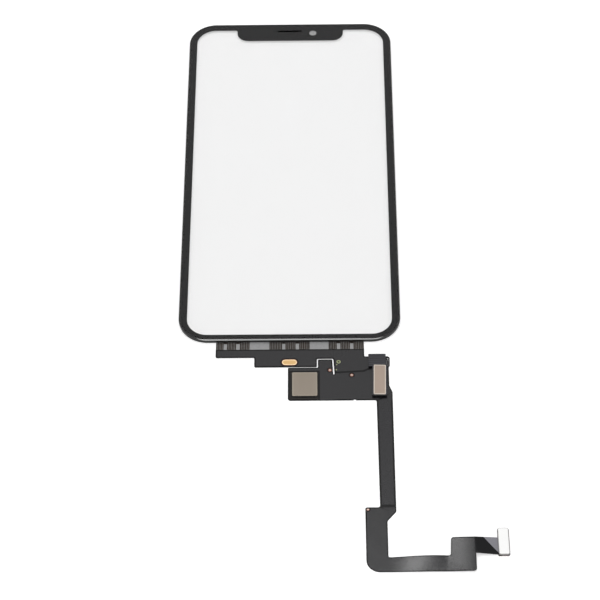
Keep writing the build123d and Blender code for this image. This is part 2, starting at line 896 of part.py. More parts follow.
# Metal plate that backs the plug
with BuildPart() as connector_plate:
    with BuildSketch(Plane.XY.offset(strip_pad_z + strip_thickness)):
        with Locations(connector_place):
            RectangleRounded(
                connector_plate_width, connector_plate_length, connector_plate_radius
            )
    extrude(amount=connector_plate_thickness)

# Stiffener under the pad at the end of the tail
with BuildPart() as tail_stiffener:
    with BuildSketch(Plane.XY):
        add(end_pad_outline)
    extrude(amount=stiffener_thickness)

# Connector at the end of the tail, with its groove open upwards
socket_z = stiffener_thickness + controller_top_z
socket_place = ((end_pad_left + end_pad_right) / 2, (end_pad_bottom + end_pad_top) / 2)
with BuildPart() as tail_connector:
    with BuildSketch(Plane.XY.offset(socket_z)):
        with Locations(socket_place):
            Rectangle(socket_width, socket_length)
    extrude(amount=socket_height)
    with BuildSketch(Plane.XY.offset(socket_z + socket_height)):
        with Locations(socket_place):
            SlotOverall(
                socket_length - 2 * socket_contact_margin, socket_groove_width, rotation=90
            )
    extrude(amount=-socket_groove_depth, mode=Mode.SUBTRACT)

# Contacts along both sides of the tail connector
socket_contact_count = int((socket_length - 2 * socket_contact_margin) / contact_pitch)
with BuildPart() as tail_contacts:
    for side in (-1, 1):
        contact_x = socket_place[0] + side * (socket_width + socket_contact_foot) / 2
        with BuildSketch(Plane.XY.offset(socket_z)):
            with Locations((contact_x, socket_place[1])):
                with GridLocations(0, contact_pitch, 1, socket_contact_count):
                    Rectangle(socket_contact_foot, contact_width)
        extrude(amount=contact_thickness)

# White cap over the tail connector, hollow below
cap_z = socket_z + cap_lift
cap_roof_z = socket_z + socket_height
with BuildPart() as protective_cap:
    with BuildSketch(Plane.XY.offset(cap_z)):
        with Locations(socket_place):
            RectangleRounded(cap_width, cap_length, cap_radius)
    extrude(amount=cap_roof_z + cap_roof - cap_z)
    cap_face = protective_cap.faces().sort_by(Axis.Z)[-1]
    chamfer(cap_face.edges(), cap_edge_chamfer)
    with BuildSketch(Plane.XY.offset(cap_z)):
        with Locations(socket_place):
            RectangleRounded(
                cap_width - 2 * cap_wall, cap_length - 2 * cap_wall, cap_radius - cap_wall
            )
    extrude(amount=cap_roof_z - cap_z, mode=Mode.SUBTRACT)

pieces = {
    "cover_glass": cover_glass,
    "border_print": border_print,
    "earpiece_mesh": earpiece_mesh,
    "front_adhesive": front_adhesive,
    "touch_sensor": touch_sensor,
    "rear_adhesive": rear_adhesive,
    "bezel_frame": bezel_frame,
    "frame_tape": frame_tape,
    "bond_film": bond_film,
    "bond_strip": bond_strip,
    "bond_traces": bond_traces,
    "bond_coverlay": bond_coverlay,
    "ground_pad": ground_pad,
    "placing_marks": placing_marks,
    "ear_ring": ear_ring,
    "controller_film": controller_film,
    "controller_coverlay": controller_coverlay,
    "test_pads": test_pads,
    "touch_controller": touch_controller,
    "underfill": underfill,
    "controller_plate": controller_plate,
    "tail_overlay": tail_overlay,
    "receptacle_body": receptacle_body,
    "receptacle_contacts": receptacle_contacts,
    "plug_body": plug_body,
    "plug_contacts": plug_contacts,
    "plug_strip": plug_strip,
    "connector_plate": connector_plate,
    "tail_stiffener": tail_stiffener,
    "tail_connector": tail_connector,
    "tail_contacts": tail_contacts,
    "protective_cap": protective_cap,
}
os.makedirs("parts", exist_ok=True)
for name, piece in pieces.items():
    piece.part.label = name
    export_step(piece.part, f"parts/{name}.step")
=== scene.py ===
"""Looks of a phone touch panel with its flex circuits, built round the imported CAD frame."""

import logging
import math
from dataclasses import dataclass
from enum import Enum
from typing import Any, Iterable, Sequence

import bmesh
import bpy
from mathutils import Matrix, Vector


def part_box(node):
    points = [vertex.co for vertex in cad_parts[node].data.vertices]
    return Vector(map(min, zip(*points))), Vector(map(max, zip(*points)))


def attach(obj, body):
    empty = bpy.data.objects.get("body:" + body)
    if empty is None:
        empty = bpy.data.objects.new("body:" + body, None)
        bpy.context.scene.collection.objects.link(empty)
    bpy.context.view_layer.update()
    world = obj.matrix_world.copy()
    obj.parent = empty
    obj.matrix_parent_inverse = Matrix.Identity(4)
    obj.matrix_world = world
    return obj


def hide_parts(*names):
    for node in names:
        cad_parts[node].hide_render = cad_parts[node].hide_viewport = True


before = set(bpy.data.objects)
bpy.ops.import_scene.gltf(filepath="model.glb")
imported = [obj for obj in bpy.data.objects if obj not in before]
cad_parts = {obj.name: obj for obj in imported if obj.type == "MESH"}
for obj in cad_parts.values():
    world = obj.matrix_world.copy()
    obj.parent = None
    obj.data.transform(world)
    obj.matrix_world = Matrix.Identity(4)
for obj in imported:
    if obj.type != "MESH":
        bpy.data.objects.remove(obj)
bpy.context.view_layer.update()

log = logging.getLogger("touch_panel")

MM = 0.001
ROOT = "root"
SMOOTH_ANGLE = math.radians(35)
WELD_DISTANCE = 0.0005 * MM
# Further out than any piece reaches, in millimetres, so a cut there leaves a piece whole.
FAR = 199.0
# How steeply a face's normal points up where the face belongs to a flex's upper side.
FACING_UP = 0.8
# The same for the flats of an upright prism, which has no slopes.
FLAT = 0.5
# The two round corners of a round end stop this short of each other, in millimetres.
ARC_GAP = 0.001
# Depth of the finest grain and of the ridges over copper lines, in metres.
GRAIN_DEPTH = 0.01 * MM
RIDGE_DEPTH = 0.02 * MM
LEAST_ROUGHNESS = 0.02
# A wave texture has this many radians to each unit of its scale.
WAVE_RATE = 20.0
# A Mix node's sockets share their names between kinds of value, so they go by number.
FACTOR = 0
COLOUR_A, COLOUR_B, COLOUR_OUT = 6, 7, 2
FLOAT_A, FLOAT_B, FLOAT_OUT = 2, 3, 0
DISC_FACETS = 32

MeshItem = bmesh.types.BMVert | bmesh.types.BMEdge | bmesh.types.BMFace


class Axis(Enum):
    """Direction that the lines of a pattern are spaced along."""

    X = "X"
    Y = "Y"


class Ray(Enum):
    """Kind of ray that a surface can answer in a way of its own."""

    CAMERA = "Is Camera Ray"
    TRANSMISSION = "Is Transmission Ray"
    GLOSSY = "Is Glossy Ray"
    SHADOW = "Is Shadow Ray"
    DIFFUSE = "Is Diffuse Ray"


def linear(code: str) -> tuple[float, float, float, float]:
    """Turn an sRGB hex value into linear light, by the curve that the standard gives.

    Args:
        code: Colour such as "#43423f".

    Returns:
        Red, green, blue and a full alpha.
    """
    channels = []
    for start in (1, 3, 5):
        value = int(code[start : start + 2], 16) / 255
        channels.append(value / 12.92 if value <= 0.04045 else ((value + 0.055) / 1.055) ** 2.4)
    return channels[0], channels[1], channels[2], 1.0


def add_node(
    tree: bpy.types.NodeTree,
    kind: str,
    settings: dict[str | int, Any] | None = None,
    links: dict[str | int, bpy.types.NodeSocket] | None = None,
) -> bpy.types.Node:
    """Add one node with its settings and links.

    Args:
        tree: Node tree that takes the node.
        kind: Node type, such as "ShaderNodeBump".
        settings: Input values by socket name or index, and node attributes after a dot.
        links: Output sockets of other nodes, by the name or index of the input they feed.

    Returns:
        The new node.
    """
    node = tree.nodes.new(kind)
    for key, value in (settings or {}).items():
        if isinstance(key, str) and key.startswith("."):
            setattr(node, key[1:], value)
    for key, value in (settings or {}).items():
        if not (isinstance(key, str) and key.startswith(".")):
            node.inputs[key].default_value = value
    for key, socket in (links or {}).items():
        tree.links.new(socket, node.inputs[key])
    return node


def new_tree(name: str) -> tuple[bpy.types.Material, bpy.types.NodeTree]:
    """Make an empty node material.

    Args:
        name: Name of the material.

    Returns:
        The material and its node tree.
    """
    material = bpy.data.materials.new(name)
    material.use_nodes = True
    material.node_tree.nodes.clear()
    return material, material.node_tree


def put_out(tree: bpy.types.NodeTree, shader: bpy.types.NodeSocket) -> None:
    """Join a shader to the material's output."""
    add_node(tree, "ShaderNodeOutputMaterial", links={"Surface": shader})


def millimetres(
    tree: bpy.types.NodeTree, stretch: Sequence[float] = (1.0, 1.0, 1.0)
) -> bpy.types.NodeSocket:
    """Object coordinates in millimetres.

    Args:
        tree: Node tree that takes the nodes.
        stretch: Further factor along each axis. Below 1 it draws a pattern out.

    Returns:
        The vector socket.
    """
    where = add_node(tree, "ShaderNodeTexCoord")
    mapping = add_node(
        tree,
        "ShaderNodeMapping",
        {"Scale": tuple(factor / MM for factor in stretch)},
        {"Vector": where.outputs["Object"]},
    )
    return mapping.outputs["Vector"]


def any_ray(tree: bpy.types.NodeTree, *kinds: Ray) -> bpy.types.NodeSocket:
    """Tell some kinds of ray from all others.

    Args:
        tree: Node tree that takes the nodes.
        kinds: Kinds of ray that are told apart.

    Returns:
        The socket that gives 1 for a ray of these kinds and 0 for any other.
    """
    path = add_node(tree, "ShaderNodeLightPath")
    found = path.outputs[kinds[0].value]
    for kind in kinds[1:]:
        either = add_node(
            tree,
            "ShaderNodeMath",
            {".operation": "MAXIMUM"},
            {0: found, 1: path.outputs[kind.value]},
        )
        found = either.outputs["Value"]
    return found


def grained_surface(
    tree: bpy.types.NodeTree,
    colour: bpy.types.NodeSocket,
    grain: bpy.types.NodeSocket,
    relief: bpy.types.NodeSocket,
    roughness: tuple[float, float],
    bump: tuple[float, float],
    settings: dict[str, float],
) -> bpy.types.NodeSocket:
    """Opaque surface whose gloss follows its grain, under a fine relief.

    Args:
        tree: Node tree that takes the nodes.
        colour: Base colour.
        grain: Grain, from 0 to 1.
        relief: Height of the relief, from 0 to 1.
        roughness: Middle roughness, and how far the grain moves it either way.
        bump: Strength of the relief, and its depth in metres.
        settings: Other inputs of the surface, each the same all over.

    Returns:
        The shader socket.
    """
    middle, spread = roughness
    rough = add_node(
        tree,
        "ShaderNodeMapRange",
        {
            "To Min": max(LEAST_ROUGHNESS, middle - spread),
            "To Max": min(1.0, middle + spread),
        },
        {"Value": grain},
    )
    strength, depth = bump
    normal = add_node(
        tree, "ShaderNodeBump", {"Strength": strength, "Distance": depth}, {"Height": relief}
    )
    body = add_node(
        tree,
        "ShaderNodeBsdfPrincipled",
        settings,
        {
            "Base Color": colour,
            "Roughness": rough.outputs["Result"],
            "Normal": normal.outputs["Normal"],
        },
    )
    return body.outputs["BSDF"]


@dataclass(frozen=True)
class Finish:
    """A finish: what a surface is made of and how it was made."""

    name: str

    def material(self) -> bpy.types.Material:
        """Return this finish's material, made on first use."""
        found = bpy.data.materials.get(self.name)
        return found if found is not None else self.make()

    def make(self) -> bpy.types.Material:
        """Build the node material."""
        raise NotImplementedError


@dataclass(frozen=True)
class FloatGlass(Finish):
    """Chemically strengthened float glass: clear, mirror smooth, with a fire-polished rim.

    The index starts from the 1.5 of such glass and is matched to the fainter sheen that the
    photographed flat has. The flow marks of the float bath vary the tint a little.
    """

    tint: str = "#fdfdfd"
    deep_tint: str = "#fcfcfc"
    ior: float = 1.37
    flow_mm: float = 20.0

    def make(self) -> bpy.types.Material:
        """Build clear glass that lets the lamps' light through to what lies under it.

        Returns:
            The material.
        """
        material, tree = new_tree(self.name)
        flow = add_node(
            tree,
            "ShaderNodeTexNoise",
            {"Scale": 1 / self.flow_mm, "Detail": 2.0},
            {"Vector": millimetres(tree)},
        )
        tone = add_node(
            tree,
            "ShaderNodeMix",
            {
                ".data_type": "RGBA",
                COLOUR_A: linear(self.deep_tint),
                COLOUR_B: linear(self.tint),
            },
            {FACTOR: flow.outputs["Fac"]},
        )
        glass = add_node(
            tree,
            "ShaderNodeBsdfPrincipled",
            {"Roughness": 0.0, "IOR": self.ior, "Transmission Weight": 1.0},
            {"Base Color": tone.outputs[COLOUR_OUT]},
        )
        passed = add_node(tree, "ShaderNodeBsdfTransparent", {"Color": linear(self.tint)})
        mix = add_node(
            tree,
            "ShaderNodeMixShader",
            links={
                0: any_ray(tree, Ray.SHADOW, Ray.DIFFUSE),
                1: glass.outputs["BSDF"],
                2: passed.outputs["BSDF"],
            },
        )
        put_out(tree, mix.outputs["Shader"])
        return material


@dataclass(frozen=True)
class ClearFilm(Finish):
    """Clear polymer film or bonded adhesive: no colour of its own and a faint, cloudy haze."""

    tint: str
    haze: float
    haze_colour: str = "#c8cacb"
    roughness: float = 0.25
    cloud_mm: float = 0.625
    cloud_share: float = 0.2

    def make(self) -> bpy.types.Material:
        """Build a film that shows what lies behind it, with a little haze of its own.

        Returns:
            The material.
        """
        material, tree = new_tree(self.name)
        cloud = add_node(
            tree,
            "ShaderNodeTexNoise",
            {"Scale": 1 / self.cloud_mm, "Detail": 2.0},
            {"Vector": millimetres(tree)},
        )
        share = add_node(
            tree,
            "ShaderNodeMapRange",
            {
                "To Min": (1 - self.cloud_share) * self.haze,
                "To Max": (1 + self.cloud_share) * self.haze,
            },
            {"Value": cloud.outputs["Fac"]},
        )
        body = add_node(
            tree,
            "ShaderNodeBsdfPrincipled",
            {"Base Color": linear(self.haze_colour), "Roughness": self.roughness},
        )
        clear = add_node(tree, "ShaderNodeBsdfTransparent", {"Color": linear(self.tint)})
        mix = add_node(
            tree,
            "ShaderNodeMixShader",
            links={
                0: share.outputs["Result"],
                1: clear.outputs["BSDF"],
                2: body.outputs["BSDF"],
            },
        )
        put_out(tree, mix.outputs["Shader"])
        return material


@dataclass(frozen=True)
class Grained(Finish):
    """A moulded, printed, rolled or plated surface with fine grain and uneven tone.

    The real grain of such surfaces is a few hundredths of a millimetre. It is drawn about
    twice as coarse, so that it shows in a near view.
    """

    colour: str
    dark: str
    roughness: float = 0.5
    metallic: float = 0.0
    specular: float = 0.5
    grain_mm: float = 0.08
    tone_mm: float = 4.0
    tone_detail: float = 4.0
    tone_roughness: float = 0.55
    bump: float = 0.15
    stretch: tuple[float, float, float] = (1.0, 1.0, 1.0)
    spread: float = 0.07

    def edge_light_and_shade(
        self, tree: bpy.types.NodeTree, colour: bpy.types.NodeSocket
    ) -> bpy.types.NodeSocket:
        """Return the colour as it is, or as a finish with a painted edge band of light or shade
        changes it.
        """
        return colour

    def make(self) -> bpy.types.Material:
        """Build two tones under a fine grain that drives roughness and bump.

        Returns:
            The material.
        """
        material, tree = new_tree(self.name)
        vector = millimetres(tree, self.stretch)
        tone = add_node(
            tree,
            "ShaderNodeTexNoise",
            {
                "Scale": 1 / self.tone_mm,
                "Detail": self.tone_detail,
                "Roughness": self.tone_roughness,
            },
            {"Vector": vector},
        )
        grain = add_node(
            tree,
            "ShaderNodeTexNoise",
            {"Scale": 1 / self.grain_mm, "Detail": 2.0},
            {"Vector": vector},
        )
        colour = add_node(
            tree,
            "ShaderNodeMix",
            {".data_type": "RGBA", COLOUR_A: linear(self.dark), COLOUR_B: linear(self.colour)},
            {FACTOR: tone.outputs["Fac"]},
        )
        shader = grained_surface(
            tree,
            self.edge_light_and_shade(tree, colour.outputs[COLOUR_OUT]),
            grain.outputs["Fac"],
            grain.outputs["Fac"],
            (self.roughness, self.spread),
            (self.bump, GRAIN_DEPTH),
            {"Metallic": self.metallic, "Specular IOR Level": self.specular},
        )
        put_out(tree, shader)
        return material


@dataclass(frozen=True)
class Coverlay(Finish):
    """Black polyimide coverlay pressed over copper lines, which print through as fine ridges.

    The real lines stand about 0.1 mm apart. Their ridges are drawn about four times as
    coarse, so that they show, and in patches, as the press leaves them.
    """

    colour: str = "#19181b"
    dark: str = "#131215"
    roughness: float = 0.27
    specular: float = 0.36
    lines: Axis = Axis.X
    pitch_mm: float = 0.42
    ridge: float = 0.25
    shown: float = 0.15
    painted_shade_mm: tuple[float, float] | None = None
    painted_shade_colour: str = "#0b0b0d"
    painted_shade_specular: float = 0.15
    spread: float = 0.06
    skin_mm: float = 1 / 9
    skin_height: float = 0.35
    patch_mm: float = 1 / 0.22
    patch_from: float = 0.42
    patch_to: float = 0.6

    def make(self) -> bpy.types.Material:
        """Build satin black film with the ridges of the lines under it.

        Returns:
            The material.
        """
        material, tree = new_tree(self.name)
        vector = millimetres(tree)
        ripple = add_node(
            tree,
            "ShaderNodeTexWave",
            {
                ".bands_direction": self.lines.value,
                "Scale": math.tau / (WAVE_RATE * self.pitch_mm),
                "Distortion": 0.3,
                "Detail": 1.0,
                "Detail Scale": 0.3,
            },
            {"Vector": vector},
        )
        patches = add_node(
            tree,
            "ShaderNodeTexNoise",
            {"Scale": 1 / self.patch_mm, "Detail": 3.0},
            {"Vector": vector},
        )
        presence = add_node(
            tree,
            "ShaderNodeMapRange",
            {"From Min": self.patch_from, "From Max": self.patch_to},
            {"Value": patches.outputs["Fac"]},
        )
        ridges = add_node(
            tree,
            "ShaderNodeMath",
            {".operation": "MULTIPLY"},
            {0: ripple.outputs["Fac"], 1: presence.outputs["Result"]},
        )
        skin = add_node(
            tree,
            "ShaderNodeTexNoise",
            {"Scale": 1 / self.skin_mm, "Detail": 2.0},
            {"Vector": vector},
        )
        height = add_node(
            tree,
            "ShaderNodeMath",
            {".operation": "MULTIPLY_ADD", 1: self.skin_height},
            {0: skin.outputs["Fac"], 2: ridges.outputs["Value"]},
        )
        share = add_node(
            tree,
            "ShaderNodeMix",
            {".data_type": "FLOAT", FACTOR: self.shown},
            {FLOAT_A: patches.outputs["Fac"], FLOAT_B: ripple.outputs["Fac"]},
        )
        colour = add_node(
            tree,
            "ShaderNodeMix",
            {".data_type": "RGBA", COLOUR_A: linear(self.dark), COLOUR_B: linear(self.colour)},
            {FACTOR: share.outputs[FLOAT_OUT]},
        )
        shader = grained_surface(
            tree,
            colour.outputs[COLOUR_OUT],
            skin.outputs["Fac"],
            height.outputs["Value"],
            (self.roughness, self.spread),
            (self.ridge, RIDGE_DEPTH),
            {"Specular IOR Level": self.specular},
        )
        # Painted shade: the film turns darker and duller over a span along X.
        if self.painted_shade_mm is not None:
            shader = self.paint_shade(tree, vector, shader)
        put_out(tree, shader)
        return material

    def paint_shade(
        self,
        tree: bpy.types.NodeTree,
        vector: bpy.types.NodeSocket,
        shader: bpy.types.NodeSocket,
    ) -> bpy.types.NodeSocket:
        """Paint shade on the film towards the ribbon's twist, where it turns from the lamps.

        Args:
            tree: Node tree that takes the nodes.
            vector: Object coordinates in millimetres.
            shader: The film's own shader.

        Returns:
            The shader that fades to a painted shade of dull black between the two places along X.
        """
        along = add_node(tree, "ShaderNodeSeparateXYZ", links={"Vector": vector})
        share = add_node(
            tree,
            "ShaderNodeMapRange",
            {
                ".interpolation_type": "SMOOTHSTEP",
                "From Min": self.painted_shade_mm[0],
                "From Max": self.painted_shade_mm[1],
            },
            {"Value": along.outputs["X"]},
        )
        dull = add_node(
            tree,
            "ShaderNodeBsdfPrincipled",
            {
                "Base Color": linear(self.painted_shade_colour),
                "Roughness": self.roughness,
                "Specular IOR Level": self.painted_shade_specular,
            },
        )
        mix = add_node(
            tree,
            "ShaderNodeMixShader",
            links={0: share.outputs["Result"], 1: shader, 2: dull.outputs["BSDF"]},
        )
        return mix.outputs["Shader"]


@dataclass(frozen=True, kw_only=True)
class Edged(Grained):
    """A plate whose edge band is drawn in a colour of its own: a painted highlight on the nickel
    silver and stainless plates, painted shade on the cap.

    Its place and sizes are in millimetres. The rolling lines of the real plates are under
    0.05 mm wide. They are drawn twice as coarse, so that they show in a near view.
    """

    edge_colour: str
    centre: tuple[float, float]
    half: tuple[float, float]
    corner: float
    edge_width: float
    turn: float = 0.0
    least_corner: float = 0.02
    band_start: float = -0.04
    band_end: float = 0.08
    roughness: float = 0.4
    metallic: float = 1.0
    grain_mm: float = 0.09
    tone_mm: float = 10 / 3
    tone_detail: float = 5.0
    tone_roughness: float = 0.6
    bump: float = 0.12
    stretch: tuple[float, float, float] = (1.0, 0.15, 1.0)
    spread: float = 0.06

    def edge_light_and_shade(
        self, tree: bpy.types.NodeTree, colour: bpy.types.NodeSocket
    ) -> bpy.types.NodeSocket:
        """Paint a band along the plate's outline in the edge colour: a painted highlight where it
        is lighter, painted shade where it is darker.

        Args:
            tree: Node tree that takes the nodes.
            colour: Colour of the flat.

        Returns:
            The socket with the colour of the flat and of the band.
        """
        where = add_node(tree, "ShaderNodeTexCoord")
        local = add_node(
            tree,
            "ShaderNodeMapping",
            {
                ".vector_type": "TEXTURE",
                "Location": (self.centre[0] * MM, self.centre[1] * MM, 0.0),
                "Rotation": (0.0, 0.0, self.turn),
                "Scale": (MM, MM, MM),
            },
            {"Vector": where.outputs["Object"]},
        )
        inner = max(self.corner - self.edge_width, self.least_corner)
        core = [size - self.edge_width - inner for size in self.half]
        vector = local.outputs["Vector"]
        # The plate is flattened, folded into one quarter and set off from its core.
        for operation, other in (
            ("MULTIPLY", (1.0, 1.0, 0.0)),
            ("ABSOLUTE", (0.0, 0.0, 0.0)),
            ("SUBTRACT", (core[0], core[1], 0.0)),
            ("MAXIMUM", (0.0, 0.0, 0.0)),
        ):
            step = add_node(
                tree, "ShaderNodeVectorMath", {".operation": operation, 1: other}, {0: vector}
            )
            vector = step.outputs["Vector"]
        distance = add_node(
            tree, "ShaderNodeVectorMath", {".operation": "LENGTH"}, {0: vector}
        )
        band = add_node(
            tree,
            "ShaderNodeMapRange",
            {"From Min": inner + self.band_start, "From Max": inner + self.band_end},
            {"Value": distance.outputs["Value"]},
        )
        edged = add_node(
            tree,
            "ShaderNodeMix",
            {".data_type": "RGBA", COLOUR_B: linear(self.edge_colour)},
            {FACTOR: band.outputs["Result"], COLOUR_A: colour},
        )
        return edged.outputs[COLOUR_OUT]


# Float glass, ion strengthened and polished: the white table shows through it unchanged.
GLASS = FloatGlass("strengthened_float_glass")
# Screen-printed and cured behind the glass: an even black with no gloss of its own.
INK = Grained(
    "screen_printed_black_ink", "#101011", "#0c0c0d", 0.5, specular=0.0, grain_mm=0.05
)
# Polished glass edge with the ink behind it: black, with a sharp highlight on its round.
INKED_RIM = Grained("glass_rim_over_black_ink", "#0c0c0d", "#09090a", 0.08, bump=0.01)
# Hazy grey film over the camera window: it greys what lies behind.
CAMERA_FILM = ClearFilm(
    "hazy_grey_film", tint="#e8e8e8", haze=0.35, haze_colour="#8c8c8c"
)
# Cast polyester sensor film between cured adhesives: clear, a trace greyer than the glass.
SENSOR_FILM = ClearFilm("clear_sensor_film", tint="#f7f7f7", haze=0.01)
# Cast polyimide without coverlay: a pale grey veil between the copper traces.
BASE_FILM = ClearFilm(
    "clear_polyimide_film", tint="#dcdcdb", haze=0.45, haze_colour="#a2a2a4"
)
# Polyimide under black coverlay, seen at its cut edge: a thin line, drawn near black so that it
# also carries the painted shade along the overlap's edge.
DARK_FILM = Grained("dark_brown_polyimide_film", "#191513", "#12100e", 0.4, specular=0.15)
# Coverlay hot pressed over copper: satin charcoal with faint ridges along the lines.
COVERLAY = Coverlay("black_polyimide_over_copper")
# The tail's coverlay, whose lines stand closer: darker, with finer ridges.
TAIL_COVERLAY = Coverlay("black_polyimide_tail", "#151418", "#0f0e12", pitch_mm=0.36)
# Coverlay where no copper lies under it: a flat margin, darker than the lines' relief.
BARE_COVERLAY = Coverlay(
    "black_polyimide_edge", "#0d0d0e", "#09090a", ridge=0.0, specular=0.17
)
# Coverlay bent sharply over the plug: its lines are real ridges, and its bluish grey with light
# and dark streaks is painted highlight and shade of the bend.
FOLD_COVERLAY_PAINTED_HIGHLIGHTS = Coverlay(
    "black_polyimide_fold_painted_highlights", "#2b2b33", "#131316", lines=Axis.Y, pitch_mm=0.9, ridge=0.6, shown=0.8
)
# Coverlay of the lifted run and tab: a soft sheen from the lamps, then painted shade, darker and
# duller, where the ribbon twists.
TAB_COVERLAY = Coverlay(
    "black_polyimide_tab",
    "#0f0e12",
    "#0b0a0d",
    specular=0.39,
    pitch_mm=0.36,
    painted_shade_mm=(47.9, 53.8),
)
# Coverlay of the ribbon's turned-up far corner: a painted sheen of pale grey, almost smooth.
SHEEN_PAINTED_COVERLAY = Coverlay(
    "painted_sheen_polyimide", "#85848b", "#74737a", ridge=0.1, specular=0.5
)
# Injection-moulded ABS with a fine spark-eroded texture: dull satin black.
FRAME_ABS = Grained("moulded_black_abs", "#0e0e0f", "#09090a", 0.45, specular=0.2)
# Polyester tape coated on both sides: matt black.
TAPE = Grained("black_pet_tape", "#121213", "#0c0c0d", 0.6)
# Blackened woven wire: dark and rough. The 0.05 mm weave is drawn at 0.12 mm, to show.
WOVEN_MESH = Grained(
    "blackened_woven_mesh", "#0e0e0f", "#060606", 0.7, grain_mm=0.12, bump=0.8
)
# Etched copper, oxidised under its clear film: dull brown, streaked along the traces.
ETCHED_COPPER = Grained(
    "oxidised_etched_copper",
    "#352d26",
    "#12100e",
    0.45,
    metallic=0.95,
    tone_mm=0.5,
    stretch=(1.0, 0.02, 1.0),
)
# Etched and cleaned copper of a test pad: a bright, pale warm dot.
BARE_COPPER = Grained(
    "bright_bare_copper", "#a99a91", "#8f7d73", 0.35, metallic=1.0, tone_mm=0.4
)
# Copper round a pad, tarnished at the coverlay's edge: red brown with little shine.
BARE_PAD_RING = Grained(
    "brown_oxidised_copper", "#7d4632", "#5c3122", 0.5, metallic=0.4, tone_mm=0.5
)
# Screen-printed marking ink: flat olive.
MARK_INK = Grained("olive_marking_ink", "#8f9668", "#7c8159", 0.6, tone_mm=0.5)
# Steel stiffener ring, blasted dull: mid grey with little shine.
RING_PLATE = Grained("dull_grey_ring", "#48474a", "#3d3c3f", 0.45, tone_mm=0.5)
# Transfer-moulded epoxy of a chip package: a matt, faintly warm black.
EPOXY_MOULDING = Grained("black_epoxy_moulding", "#1b1a1a", "#131212", 0.55)
# Underfill that flowed round the package and cured: smooth, a low sheen, and drawn near black so
# that it also carries painted shade beside the controller plate.
UNDERFILL_RESIN = Grained("cured_underfill_resin", "#1d1b1a", "#171514", 0.4, specular=0.2)
# Stainless strip, brushed: warm grey, streaked along the brushing.
STAINLESS = Grained(
    "brushed_stainless",
    "#8d8079",
    "#83766f",
    0.4,
    metallic=1.0,
    tone_mm=3.0,
    stretch=(1.0, 0.12, 1.0),
)
# Liquid crystal polymer, moulded for fine connectors: matt black with a brown tinge.
LCP_MOULDING = Grained("black_liquid_crystal_polymer", "#211e1c", "#171514", 0.5)
# Tin plate on stamped bronze: pale metal with a soft shine.
TIN_PLATE = Grained(
    "tin_plated_contact", "#c9c4b8", "#aaa59a", 0.3, metallic=1.0, tone_mm=0.5
)


def dress(node: str, finish: Finish) -> None:
    """Give a CAD node its finish, with its round edges shaded smooth.

    Args:
        node: Name of the CAD node.
        finish: Finish that it takes.
    """
    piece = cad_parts[node]
    piece.material_slots[0].material = finish.material()
    piece.data.polygons.foreach_set("use_smooth", [True] * len(piece.data.polygons))
    weld = piece.modifiers.new("weld", "WELD")
    weld.merge_threshold = WELD_DISTANCE
    split = piece.modifiers.new("keep_corners", "EDGE_SPLIT")
    split.split_angle = SMOOTH_ANGLE
    log.info("%s: %s", node, finish.name)


def place(
    shape: bmesh.types.BMesh, name: str, finish: Finish, replaced: Sequence[str] = ()
) -> None:
    """Turn a finished bmesh into a piece of the object.

    Args:
        shape: Closed mesh, in metres in the row frame. It is freed.
        name: Name of the piece.
        finish: Finish that it takes.
        replaced: CAD nodes that the piece stands for.
    """
    bmesh.ops.remove_doubles(shape, verts=shape.verts, dist=WELD_DISTANCE)
    bmesh.ops.recalc_face_normals(shape, faces=shape.faces)
    for face in shape.faces:
        face.smooth = True
    for edge in shape.edges:
        edge.smooth = len(edge.link_faces) == 2 and edge.calc_face_angle() < SMOOTH_ANGLE
    mesh = bpy.data.meshes.new(name)
    shape.to_mesh(mesh)
    shape.free()
    piece = bpy.data.objects.new(name, mesh)
    bpy.context.scene.collection.objects.link(piece)
    mesh.materials.append(finish.material())
    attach(piece, ROOT)
    if replaced:
        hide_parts(*replaced)
    log.info("%s: %s", name, finish.name)


def plan(node: str) -> tuple[tuple[float, float], tuple[float, float]]:
    """Measure a CAD node seen from above.

    Args:
        node: Name of the CAD node.

    Returns:
        Its centre and its half sizes, in millimetres.
    """
    low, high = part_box(node)
    centre = ((low[0] + high[0]) / 2 / MM, (low[1] + high[1]) / 2 / MM)
    half = ((high[0] - low[0]) / 2 / MM, (high[1] - low[1]) / 2 / MM)
    return centre, half


def rounded_corners(
    centre: tuple[float, float], half: tuple[float, float], radius: float
) -> list[tuple[float, float, float]]:
    """Corners of a rectangle that polygon_plate can round, counter-clockwise.

    Args:
        centre: The x and y of its middle in millimetres.
        half: Its half sizes along x and y in millimetres.
        radius: Radius of its corners in millimetres.

    Returns:
        Each corner's x, y and radius in millimetres.
    """
    return [
        (centre[0] + side * half[0], centre[1] + end * half[1], radius)
        for side, end in ((-1, -1), (1, -1), (1, 1), (-1, 1))
    ]


def lift(shape: bmesh.types.BMesh, items: Iterable[MeshItem], height: float) -> None:
    """Move the vertices among some geometry up or down.

    Args:
        shape: Mesh in metres.
        items: Geometry of the mesh, such as what an extrusion gives back.
        height: Distance upwards in millimetres.
    """
    bmesh.ops.translate(
        shape,
        verts=[item for item in items if isinstance(item, bmesh.types.BMVert)],
        vec=(0.0, 0.0, height * MM),
    )


def edges_at(shape: bmesh.types.BMesh, level: float) -> list[bmesh.types.BMEdge]:
    """Find the edges that lie at one height.

    Args:
        shape: Mesh in metres.
        level: Height in millimetres.

    Returns:
        The edges.
    """
    return [
        edge
        for edge in shape.edges
        if all(abs(vert.co.z - level * MM) < WELD_DISTANCE for vert in edge.verts)
    ]


def cut_away(shape: bmesh.types.BMesh, point: Sequence[float], outward: Sequence[float]) -> None:
    """Cut a mesh along a plane and drop what lies beyond it.

    Args:
        shape: Mesh in metres.
        point: A point of the plane, in metres.
        outward: Direction of the side that is dropped.
    """
    bmesh.ops.bisect_plane(
        shape,
        geom=shape.verts[:] + shape.edges[:] + shape.faces[:],
        plane_co=point,
        plane_no=outward,
        clear_outer=True,
    )


